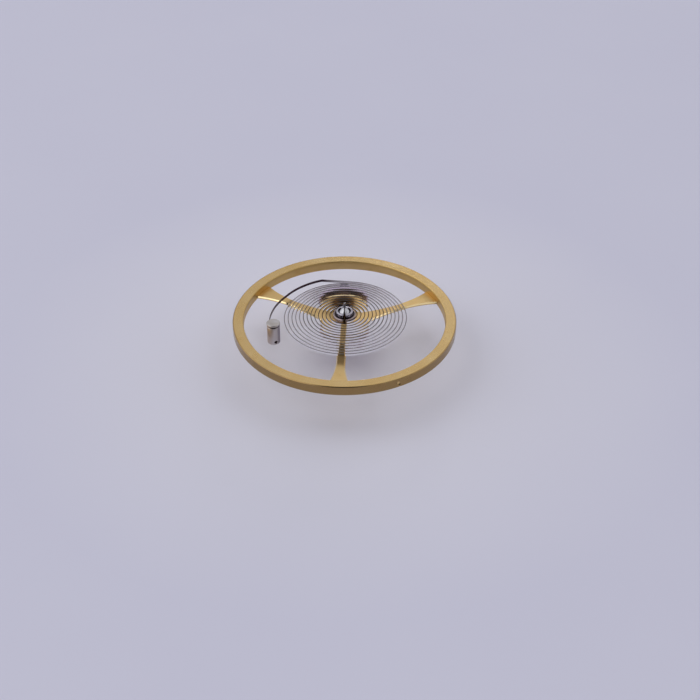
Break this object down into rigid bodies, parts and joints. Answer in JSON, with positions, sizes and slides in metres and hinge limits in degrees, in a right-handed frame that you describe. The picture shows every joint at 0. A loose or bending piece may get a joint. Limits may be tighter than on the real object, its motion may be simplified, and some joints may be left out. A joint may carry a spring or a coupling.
{
  "type": "watch balance wheel",
  "caption": "Watch balance complete: a smooth gilt wheel with arms on its pivoted staff, with a flat spiral hairspring, collet and stud above and a double roller with a ruby pin below.",
  "frame": {"origin": "on the staff's axis at the tip of the lower pivot", "axes": "+Z along the staff towards the upper pivot and the hairspring side; +X to the right in the picture, +Y away from its viewer"},
  "size_m": [0.01, 0.01, 0.003],
  "materials": {
    "gilt": "fine circular brushing, gilt",
    "staff_steel": "hardened and polished",
    "roller_steel": "polished",
    "ruby": "polished synthetic ruby",
    "shellac": "amber, glossy",
    "collet_metal": "polished nickel silver",
    "spring_steel": "polished spring alloy",
    "stud_metal": "satin, turned",
    "cement": "dark, set hard"
  },
  "bodies": {
    "stud": {"stud": "stud_metal", "stud_cement": "cement"},
    "balance": {"balance_wheel": "gilt", "balance_staff": "staff_steel", "roller": "roller_steel", "impulse_jewel": "ruby", "jewel_shellac": "shellac", "collet": "collet_metal", "hairspring": "spring_steel"}
  },
  "joints": [
    {"name": "balance_swing", "type": "hinge", "parent": "stud", "child": "balance", "pos_m": [0, 0, 0], "axis": [0, 0, 1], "range_deg": [-300, 300], "stiffness_Nm_per_rad": 0.0000007, "deforming": ["hairspring"]}
  ]
}
